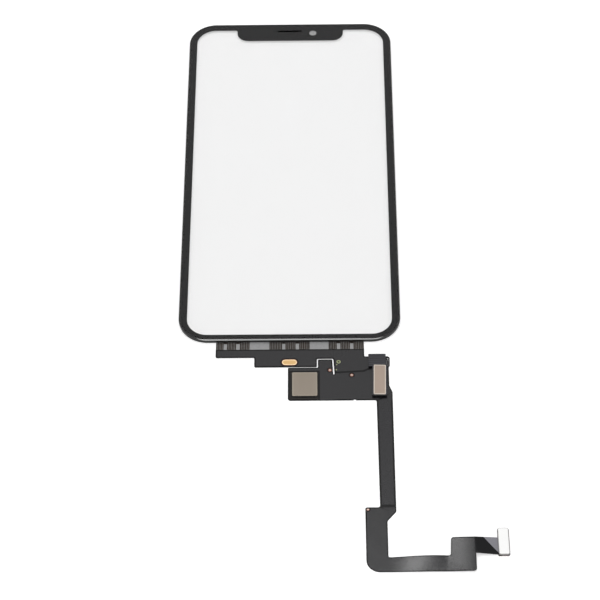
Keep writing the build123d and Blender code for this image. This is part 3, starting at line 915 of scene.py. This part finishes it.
def score(
    shape: bmesh.types.BMesh,
    faces: list[bmesh.types.BMFace],
    point: Sequence[float],
    across: Sequence[float],
) -> None:
    """Split some faces along a plane and keep both sides.

    Args:
        shape: Mesh in metres.
        faces: Faces that are split where the plane meets them.
        point: A point of the plane, in metres.
        across: Direction at right angles to the plane.
    """
    edges = dict.fromkeys(edge for face in faces for edge in face.edges)
    bmesh.ops.bisect_plane(shape, geom=faces + list(edges), plane_co=point, plane_no=across)


def polygon_plate(
    corners: Sequence[tuple[float, float, float]],
    low: float,
    high: float,
    segments: int = 8,
    into: bmesh.types.BMesh | None = None,
) -> bmesh.types.BMesh:
    """Upright prism on a polygon with rounded corners.

    Args:
        corners: Each corner's x, y and radius, in millimetres, counter-clockwise.
        low: Height of the underside in millimetres.
        high: Height of the top in millimetres.
        segments: Facets on each rounded corner.
        into: Mesh that takes the prism, where it isn't a new one.

    Returns:
        The mesh that holds the closed prism, in metres.
    """
    shape = into if into is not None else bmesh.new()
    foot = [shape.verts.new((x * MM, y * MM, low * MM)) for x, y, _ in corners]
    base = shape.faces.new(foot)
    lift(shape, bmesh.ops.extrude_face_region(shape, geom=[base])["geom"], high - low)
    for x, y, radius in corners:
        if radius == 0:
            continue
        uprights = [
            edge
            for edge in shape.edges
            if all(math.dist(v.co.xy, (x * MM, y * MM)) < WELD_DISTANCE for v in edge.verts)
        ]
        bmesh.ops.bevel(
            shape,
            geom=uprights,
            offset=radius * MM,
            segments=segments,
            profile=0.5,
            affect="EDGES",
            offset_type="OFFSET",
            material=-1,
        )
    return shape


def top_skin(
    node: str,
    span_x: tuple[float, float] = (-FAR, FAR),
    span_y: tuple[float, float] = (-FAR, FAR),
) -> bmesh.types.BMesh:
    """Copy the upper surface of a CAD node, cut to a rectangle seen from above.

    Args:
        node: Name of the CAD node.
        span_x: Lowest and highest x that are kept, in millimetres.
        span_y: Lowest and highest y that are kept, in millimetres.

    Returns:
        The open surface, in metres.
    """
    shape = bmesh.new()
    shape.from_mesh(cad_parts[node].data)
    bmesh.ops.remove_doubles(shape, verts=shape.verts, dist=WELD_DISTANCE)
    hidden = [face for face in shape.faces if face.normal.z < FACING_UP]
    bmesh.ops.delete(shape, geom=hidden, context="FACES")
    for axis, (low, high) in enumerate((span_x, span_y)):
        for bound, sign in ((low, -1.0), (high, 1.0)):
            point, outward = Vector(), Vector()
            point[axis] = bound * MM
            outward[axis] = sign
            cut_away(shape, point, outward)
    return shape


def slab(
    skin: bmesh.types.BMesh,
    name: str,
    finish: Finish,
    margin: float = 0.35,
    rise: float = 0.012,
    depth: float = 0.01,
    replaced: Sequence[str] = (),
) -> None:
    """Turn a surface into a thin slab that follows it.

    Args:
        skin: Open surface, in metres, such as a flex circuit's upper face.
        name: Name of the piece.
        finish: Finish of the slab.
        margin: Width that is left bare along the surface's outline, in millimetres.
        rise: Height of the slab's top over the surface, in millimetres.
        depth: Depth of the slab's foot under the surface, in millimetres.
        replaced: CAD nodes that the piece stands for.
    """
    if margin > 0:
        border = bmesh.ops.inset_region(
            skin,
            faces=skin.faces[:],
            thickness=margin * MM,
            use_boundary=True,
            use_even_offset=True,
        )["faces"]
        bmesh.ops.delete(skin, geom=border, context="FACES")
    lift(skin, skin.verts, -depth)
    foot = skin.faces[:]
    raised = bmesh.ops.extrude_face_region(skin, geom=foot, use_keep_orig=True)["geom"]
    lift(skin, raised, rise + depth)
    place(skin, name, finish, replaced)


def disc(
    name: str,
    centre: tuple[float, float],
    radius: float,
    heights: tuple[float, float],
    finish: Finish,
) -> None:
    """Lay a thin round plate.

    Args:
        name: Name of the piece.
        centre: Its x and y in millimetres.
        radius: Its radius in millimetres.
        heights: Heights of its underside and its top in millimetres.
        finish: Finish that it takes.
    """
    low, high = heights
    plate = bmesh.new()
    bmesh.ops.create_cone(
        plate,
        cap_ends=True,
        segments=DISC_FACETS,
        radius1=radius * MM,
        radius2=radius * MM,
        depth=(high - low) * MM,
        matrix=Matrix.Translation((centre[0] * MM, centre[1] * MM, (low + high) / 2 * MM)),
    )
    place(plate, name, finish)


@dataclass
class GlassPanel:
    """Cover glass with its border print, bonded layers and frame. Sizes are in millimetres."""

    glass_corner: float = 9.2
    glass_segments: int = 24
    top_round: float = 0.45
    round_segments: int = 8
    bottom_chamfer: float = 0.12
    rim_width: float = 0.46
    pane_overlap: float = 0.005
    ink_contact: float = 0.002
    slot_x: float = -0.2
    slot_from_top: float = 3.6
    slot_length: float = 8.2
    slot_height: float = 0.65
    bond_corner: float = 7.8
    notch_half_width: float = 16.9
    notch_floor: float = 63.67
    camera_x: float = 7.7
    camera_from_top: float = 4.1
    camera_radius: float = 1.19
    camera_film_gap: float = 0.005
    camera_film_depth: float = 0.01

    def outline(self, inset: float) -> list[tuple[float, float, float]]:
        """Outline of the glass, set in by a distance.

        Args:
            inset: Distance in millimetres.

        Returns:
            Each corner's x, y and radius in millimetres.
        """
        centre, half = plan("cover_glass")
        return rounded_corners(
            centre, (half[0] - inset, half[1] - inset), self.glass_corner - inset
        )

    def pane(self) -> None:
        """Build the clear flat of the glass, with the slot that the earpiece speaks through."""
        low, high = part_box("cover_glass")
        foot, top = low[2] / MM - self.ink_contact, high[2] / MM
        flat = self.outline(self.rim_width - self.pane_overlap)
        pane = polygon_plate(flat, foot, top, self.glass_segments)
        middle = (self.slot_x, high[1] / MM - self.slot_from_top)
        half = (self.slot_length / 2, self.slot_height / 2)
        polygon_plate(rounded_corners(middle, half, half[1] - ARC_GAP), foot, top, into=pane)
        caps = [face for face in pane.faces if abs(face.normal.z) > FLAT]
        bmesh.ops.delete(pane, geom=caps, context="FACES_ONLY")
        for level in (foot, top):
            bmesh.ops.triangle_fill(
                pane, edges=edges_at(pane, level), use_beauty=True, normal=(0.0, 0.0, 1.0)
            )
        place(pane, "glass_pane", GLASS, ("cover_glass",))

    def rim(self) -> None:
        """Build the glass's rounded rim, which shows the ink behind it from every side."""
        low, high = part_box("cover_glass")
        foot, top = low[2] / MM, high[2] / MM
        ring = polygon_plate(self.outline(0.0), foot, top, self.glass_segments)
        for level, offset, segments in (
            (top, self.top_round, self.round_segments),
            (foot, self.bottom_chamfer, 1),
        ):
            bmesh.ops.bevel(
                ring,
                geom=edges_at(ring, level),
                offset=offset * MM,
                segments=segments,
                profile=0.5,
                affect="EDGES",
                material=-1,
            )
        openings = []
        # The two largest faces are the flats of the top and the underside.
        for face in sorted(ring.faces, key=lambda item: item.calc_area())[-2:]:
            offset = self.top_round if face.normal.z > 0 else self.bottom_chamfer
            bmesh.ops.inset_region(
                ring,
                faces=[face],
                thickness=(self.rim_width - offset) * MM,
                use_boundary=True,
                use_even_offset=True,
            )
            openings.append(face)
        loops = [edge for face in openings for edge in face.edges]
        bmesh.ops.delete(ring, geom=openings, context="FACES_ONLY")
        bmesh.ops.bridge_loops(ring, edges=loops)
        place(ring, "glass_rim", INKED_RIM, ("cover_glass",))

    def bond_layers(self) -> None:
        """Build the sensor and its adhesives as one clear body.

        Layers in optical contact show no faces between them, so one body stands for all
        three. It is thinner over the bond flex's tongue.
        """
        _, (wide, long_half) = plan("touch_sensor")
        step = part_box("touch_sensor")[0][2] / MM
        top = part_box("border_print")[0][2] / MM
        tongue_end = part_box("rear_adhesive")[0][1]
        notch, floor = self.notch_half_width, self.notch_floor
        layers = polygon_plate(
            [
                (-wide, -long_half, self.bond_corner),
                (wide, -long_half, self.bond_corner),
                (wide, long_half, self.bond_corner),
                (notch, long_half, 0.0),
                (notch, floor, 0.0),
                (-notch, floor, 0.0),
                (-notch, long_half, 0.0),
                (-wide, long_half, self.bond_corner),
            ],
            step,
            top,
        )
        under = [face for face in layers.faces if face.normal.z < -FLAT]
        score(layers, under, (0.0, tongue_end, 0.0), (0.0, 1.0, 0.0))
        deep = [
            face
            for face in layers.faces
            if face.normal.z < -FLAT and face.calc_center_median().y > tongue_end
        ]
        dropped = bmesh.ops.extrude_face_region(layers, geom=deep)["geom"]
        bmesh.ops.delete(layers, geom=deep, context="FACES_ONLY")
        lift(layers, dropped, -step)
        place(
            layers,
            "bonded_sensor_layers",
            SENSOR_FILM,
            ("front_adhesive", "touch_sensor", "rear_adhesive"),
        )

    def camera_film(self) -> None:
        """Lay the hazy film that greys the camera window."""
        _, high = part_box("cover_glass")
        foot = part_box("border_print")[0][2] / MM + self.camera_film_gap
        disc(
            "camera_window_film",
            (self.camera_x, high[1] / MM - self.camera_from_top),
            self.camera_radius,
            (foot, foot + self.camera_film_depth),
            CAMERA_FILM,
        )

    def build(self) -> None:
        """Dress the panel's nodes."""
        self.pane()
        self.rim()
        dress("border_print", INK)
        self.camera_film()
        dress("earpiece_mesh", WOVEN_MESH)
        self.bond_layers()
        dress("bezel_frame", FRAME_ABS)
        dress("frame_tape", TAPE)


@dataclass
class BondFlex:
    """Flex circuit that is bonded to the sensor. Sizes are in millimetres."""

    film_depth: float = 0.06
    film_lap: float = 0.05
    relief_margin: float = 0.45
    gold_edge: float = 0.28
    gold_rise: float = 0.018
    gold_depth: float = 0.01
    pad_ring: float = 0.16
    ring_sink: float = 0.005
    ring_rise: float = 0.003

    def film(self) -> None:
        """Build the base film, clear beside its traces, and near black where coverlay hides it,
        which paints shade along its cut edge.
        """
        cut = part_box("bond_coverlay")[1][1] / MM - self.film_lap
        for name, finish, slot, span in (
            ("bond_film_bare", BASE_FILM, "clear_film", (cut, FAR)),
            ("bond_film_covered", DARK_FILM, "dark_film", (-FAR, cut)),
        ):
            skin = top_skin("bond_film", span_y=span)
            slab(skin, name, finish, 0.0, 0.0, self.film_depth, ("bond_film",))

    def ground_pad(self) -> None:
        """Dress the gold pad and lay the ring of bare copper that its opening shows."""
        centre, half = plan("ground_pad")
        # Flash gold on nickel, with round ends: pale warm yellow, lighter at its edge.
        gold = Edged(
            "flash_gold_plate",
            "#b8996b",
            "#a5865d",
            edge_colour="#d2bc98",
            centre=centre,
            half=half,
            corner=half[1],
            edge_width=self.gold_edge,
            stretch=(1.0, 1.0, 1.0),
        )
        dress("ground_pad", gold)
        slab(
            top_skin("ground_pad"),
            "ground_pad_plating",
            gold,
            0.0,
            self.gold_rise,
            self.gold_depth,
        )
        around = (half[0] + self.pad_ring, half[1] + self.pad_ring)
        ring = polygon_plate(
            rounded_corners(centre, around, around[1] - ARC_GAP),
            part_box("ground_pad")[0][2] / MM - self.ring_sink,
            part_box("bond_coverlay")[1][2] / MM + self.ring_rise,
        )
        place(ring, "ground_pad_copper", BARE_PAD_RING)

    def build(self) -> None:
        """Dress the bond flex's nodes."""
        self.film()
        dress("bond_strip", ETCHED_COPPER)
        dress("bond_traces", ETCHED_COPPER)
        dress("bond_coverlay", BARE_COVERLAY)
        slab(
            top_skin("bond_coverlay"),
            "bond_copper_relief",
            COVERLAY,
            self.relief_margin,
        )
        self.ground_pad()
        dress("placing_marks", MARK_INK)
        dress("ear_ring", RING_PLATE)


@dataclass
class ControllerFlex:
    """Flex circuit with the touch controller and its tail. Sizes are in millimetres."""

    body_bottom: float = -93.6
    elbow_top: float = -132.5
    run_left: float = 20.0
    tab_right: float = 53.0
    margin: float = 0.35
    window_gap: float = 0.8
    ribbon_rise: float = 0.006
    crease: tuple[float, float] = (55.68, -144.57)
    crease_end: tuple[float, float] = (59.1, -148.59)
    plate_corner: float = 0.3
    plate_edge: float = 0.42
    pad_ring: float = 0.56
    ring_sink: float = 0.005
    ring_rise: float = 0.01
    pad_places: tuple[tuple[float, float], ...] = (
        (12.25, -81.41),
        (18.8, -83.41),
        (22.8, -133.56),
    )

    def body_relief(self) -> None:
        """Raise the coverlay over the body's copper, outside the controller's window, where the
        darker bare coverlay also stands for painted shade round the plate.
        """
        body = top_skin("controller_coverlay", span_y=(self.body_bottom, FAR))
        _, plate_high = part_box("controller_plate")
        right = plate_high[0] + self.margin * MM
        above = plate_high[1] + self.window_gap * MM
        for point, across in (((right, 0, 0), (1, 0, 0)), ((0, above, 0), (0, 1, 0))):
            beside = [face for face in body.faces if face.calc_center_median().x < right]
            score(body, beside, point, across)
        # The darker bare coverlay left here is partly painted shade round the plate.
        window = [
            face
            for face in body.faces
            if face.calc_center_median().x < right and face.calc_center_median().y < above
        ]
        bmesh.ops.delete(body, geom=window, context="FACES")
        slab(body, "controller_copper_relief", COVERLAY, self.margin)

    def run_relief(self) -> None:
        """Raise the coverlay over the copper of the run and the tab."""
        run = top_skin(
            "controller_coverlay", (self.run_left, self.tab_right), (-FAR, self.elbow_top)
        )
        slab(run, "run_copper_relief", TAB_COVERLAY, self.margin)

    def ribbon(self) -> None:
        """Cover the ribbon: a painted sheen on its turned-up far corner beyond the crease, and the
        tab's coverlay with its painted shade on the rest.
        """
        start = Vector((self.crease[0] * MM, self.crease[1] * MM, 0.0))
        along = Vector((self.crease_end[0] * MM, self.crease_end[1] * MM, 0.0)) - start
        across = Vector((along.y, -along.x, 0.0)).normalized()
        # Beyond the crease line the coverlay takes a painted sheen.
        for name, finish, side in (
            ("ribbon_coverlay", TAB_COVERLAY, across),
            ("ribbon_painted_sheen", SHEEN_PAINTED_COVERLAY, -across),
        ):
            skin = top_skin("controller_coverlay", (self.tab_right - self.margin, FAR))
            cut_away(skin, start, -side)
            slab(skin, name, finish, 0.0, self.ribbon_rise)

    def pads(self) -> None:
        """Dress the test pads and lay a ring of tarnished copper round each."""
        dress("test_pads", BARE_COPPER)
        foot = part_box("test_pads")[0][2] / MM
        for number, centre in enumerate(self.pad_places, 1):
            disc(
                f"pad_ring_{number}",
                centre,
                self.pad_ring,
                (foot - self.ring_sink, foot + self.ring_rise),
                BARE_PAD_RING,
            )

    def controller(self) -> None:
        """Dress the touch controller with its underfill and its plate."""
        dress("touch_controller", EPOXY_MOULDING)
        dress("underfill", UNDERFILL_RESIN)
        centre, half = plan("controller_plate")
        # Rolled nickel silver: a warm grey flat, with a painted highlight a little lighter along
        # its edge.
        plate = Edged(
            "rolled_nickel_silver",
            "#766e65",
            "#6b645b",
            edge_colour="#7b746a",
            centre=centre,
            half=half,
            corner=self.plate_corner,
            edge_width=self.plate_edge,
        )
        dress("controller_plate", plate)

    def build(self) -> None:
        """Dress the controller flex's nodes."""
        dress("controller_film", DARK_FILM)
        dress("controller_coverlay", BARE_COVERLAY)
        self.body_relief()
        self.run_relief()
        self.ribbon()
        self.pads()
        self.controller()
        dress("tail_overlay", TAIL_COVERLAY)


@dataclass
class BoardConnector:
    """Connector that joins the two flex circuits under a metal plate. Sizes are in millimetres."""

    plate_half: tuple[float, float] = (1.81, 5.65)
    plate_turn: float = math.radians(-1.3)
    plate_corner: float = 0.3
    plate_edge: float = 0.26

    def build(self) -> None:
        """Dress the board connector's nodes."""
        dress("receptacle_body", LCP_MOULDING)
        dress("receptacle_contacts", TIN_PLATE)
        dress("plug_body", LCP_MOULDING)
        dress("plug_contacts", TIN_PLATE)
        dress("plug_strip", FOLD_COVERLAY_PAINTED_HIGHLIGHTS)
        centre, _ = plan("connector_plate")
        # Pressed stainless sheet: a pale, warm grey flat with a painted highlight, brighter, along
        # its edge.
        plate = Edged(
            "pressed_stainless_plate",
            "#8a7d73",
            "#7d7167",
            edge_colour="#a9a198",
            centre=centre,
            half=self.plate_half,
            corner=self.plate_corner,
            edge_width=self.plate_edge,
            turn=self.plate_turn,
        )
        dress("connector_plate", plate)


@dataclass
class TailEnd:
    """Connector at the end of the tail, under its white cap. Sizes are in millimetres."""

    cap_corner: float = 0.5
    cap_edge: float = 0.17

    def build(self) -> None:
        """Dress the tail end's nodes."""
        dress("tail_stiffener", STAINLESS)
        dress("tail_connector", LCP_MOULDING)
        dress("tail_contacts", TIN_PLATE)
        centre, half = plan("protective_cap")
        # Moulded polypropylene: soft white, with painted shade in a grey band along its edge.
        cap = Edged(
            "white_moulded_polypropylene",
            "#f8f8f7",
            "#f3f3f2",
            edge_colour="#8c8986",
            centre=centre,
            half=half,
            corner=self.cap_corner,
            edge_width=self.cap_edge,
            metallic=0.0,
            roughness=0.45,
            stretch=(1.0, 1.0, 1.0),
        )
        dress("protective_cap", cap)


@dataclass(frozen=True)
class Softbox:
    """A rectangular lamp that faces the part.

    One that doesn't light the part only shows in what is glossy.
    """

    name: str
    place_m: tuple[float, float, float]
    size_m: tuple[float, float]
    power_w: float
    lights: bool = True

    def hang(self) -> None:
        """Hang the lamp and turn it to the part."""
        lamp = bpy.data.lights.new(self.name, "AREA")
        lamp.shape = "RECTANGLE"
        lamp.size, lamp.size_y = self.size_m
        lamp.energy = self.power_w
        holder = bpy.data.objects.new(self.name, lamp)
        holder.visible_diffuse = self.lights
        holder.location = self.place_m
        holder.rotation_euler = (-Vector(self.place_m)).to_track_quat("-Z", "Y").to_euler()
        bpy.context.scene.collection.objects.link(holder)


@dataclass
class Studio:
    """Pale floor, soft lamps and the camera at the photograph's viewing angle."""

    floor_half_m: float = 4.0
    floor_drop_mm: float = 0.02
    floor_grey: float = 0.72
    floor_glow: float = 0.46
    room_glow: float = 0.75
    softboxes: tuple[Softbox, ...] = (
        Softbox("front_softbox", (-0.2, -0.5, 1.2), (0.25, 0.25), 2.0),
        Softbox("rear_softbox", (-0.043, 0.4, 1.2), (0.2, 0.2), 2.6),
        Softbox("front_reflection", (0.0, -0.87, 1.02), (1.4, 1.35), 72.0, lights=False),
    )
    lens_mm: float = 150.73
    sensor_mm: float = 36.0
    clip_m: tuple[float, float] = (0.01, 50.0)
    eye_mm: tuple[float, float, float] = (9.387, -563.426, 584.955)
    look_down: float = math.radians(48.90155)
    roll: float = math.radians(-0.96487)
    yaw: float = math.radians(-0.68887)

    def build(self) -> None:
        """Build the floor, the room's light, the lamps and the camera."""
        self.lay_floor()
        self.light_world()
        for softbox in self.softboxes:
            softbox.hang()
        self.set_camera()

    def floor_paper(self) -> bpy.types.Material:
        """Make the white of the floor, lifted only where it is looked at.

        Returns:
            The material.
        """
        material, tree = new_tree("plain_white_floor")
        grey = self.floor_grey
        white = add_node(tree, "ShaderNodeBsdfDiffuse", {"Color": (grey, grey, grey, 1.0)})
        glow = add_node(
            tree,
            "ShaderNodeEmission",
            {"Color": (1.0, 1.0, 1.0, 1.0), "Strength": self.floor_glow},
        )
        both = add_node(
            tree,
            "ShaderNodeAddShader",
            links={0: white.outputs["BSDF"], 1: glow.outputs["Emission"]},
        )
        mix = add_node(
            tree,
            "ShaderNodeMixShader",
            links={
                0: any_ray(tree, Ray.CAMERA, Ray.TRANSMISSION, Ray.GLOSSY),
                1: white.outputs["BSDF"],
                2: both.outputs["Shader"],
            },
        )
        put_out(tree, mix.outputs["Shader"])
        return material

    def lay_floor(self) -> None:
        """Lay a plain floor just under the part, which keeps its shadow."""
        sheet = bmesh.new()
        bmesh.ops.create_grid(sheet, x_segments=1, y_segments=1, size=self.floor_half_m)
        lift(sheet, sheet.verts, -self.floor_drop_mm)
        mesh = bpy.data.meshes.new("floor")
        sheet.to_mesh(mesh)
        sheet.free()
        mesh.materials.append(self.floor_paper())
        floor = bpy.data.objects.new("floor", mesh)
        bpy.context.scene.collection.objects.link(floor)

    def light_world(self) -> None:
        """Set white round the scene for what is seen, and a little less for soft light."""
        world = bpy.data.worlds.new("soft_white_room")
        bpy.context.scene.world = world
        world.use_nodes = True
        tree = world.node_tree
        tree.nodes.clear()
        level = add_node(
            tree,
            "ShaderNodeMapRange",
            {"To Min": self.room_glow, "To Max": 1.0},
            {"Value": any_ray(tree, Ray.CAMERA, Ray.TRANSMISSION, Ray.GLOSSY)},
        )
        sky = add_node(
            tree,
            "ShaderNodeBackground",
            {"Color": (1.0, 1.0, 1.0, 1.0)},
            {"Strength": level.outputs["Result"]},
        )
        add_node(tree, "ShaderNodeOutputWorld", links={"Surface": sky.outputs["Background"]})

    def set_camera(self) -> None:
        """Set the camera where the photograph was taken from."""
        data = bpy.data.cameras.new("camera")
        data.lens = self.lens_mm
        data.sensor_width = self.sensor_mm
        data.clip_start, data.clip_end = self.clip_m
        forward = Vector(
            (
                math.sin(self.yaw) * math.cos(self.look_down),
                math.cos(self.yaw) * math.cos(self.look_down),
                -math.sin(self.look_down),
            )
        )
        # The picture's sides run along level and down, turned by the roll.
        level = Vector((math.cos(self.yaw), -math.sin(self.yaw), 0.0))
        down = forward.cross(level)
        across = level * math.cos(self.roll) - down * math.sin(self.roll)
        lower = level * math.sin(self.roll) + down * math.cos(self.roll)
        turn = Matrix((across, -lower, -forward)).transposed()
        camera = bpy.data.objects.new("camera", data)
        camera.matrix_world = Matrix.Translation(Vector(self.eye_mm) * MM) @ turn.to_4x4()
        bpy.context.scene.collection.objects.link(camera)
        bpy.context.scene.camera = camera


def main() -> None:
    """Build the studio and dress every sub-assembly."""
    logging.basicConfig(level=logging.INFO, format="%(name)s: %(message)s")
    bpy.context.scene.view_settings.view_transform = "Standard"
    for part in (
        Studio(),
        GlassPanel(),
        BondFlex(),
        ControllerFlex(),
        BoardConnector(),
        TailEnd(),
    ):
        part.build()
        log.info("%s is done", type(part).__name__)


if __name__ == "__main__":
    main()
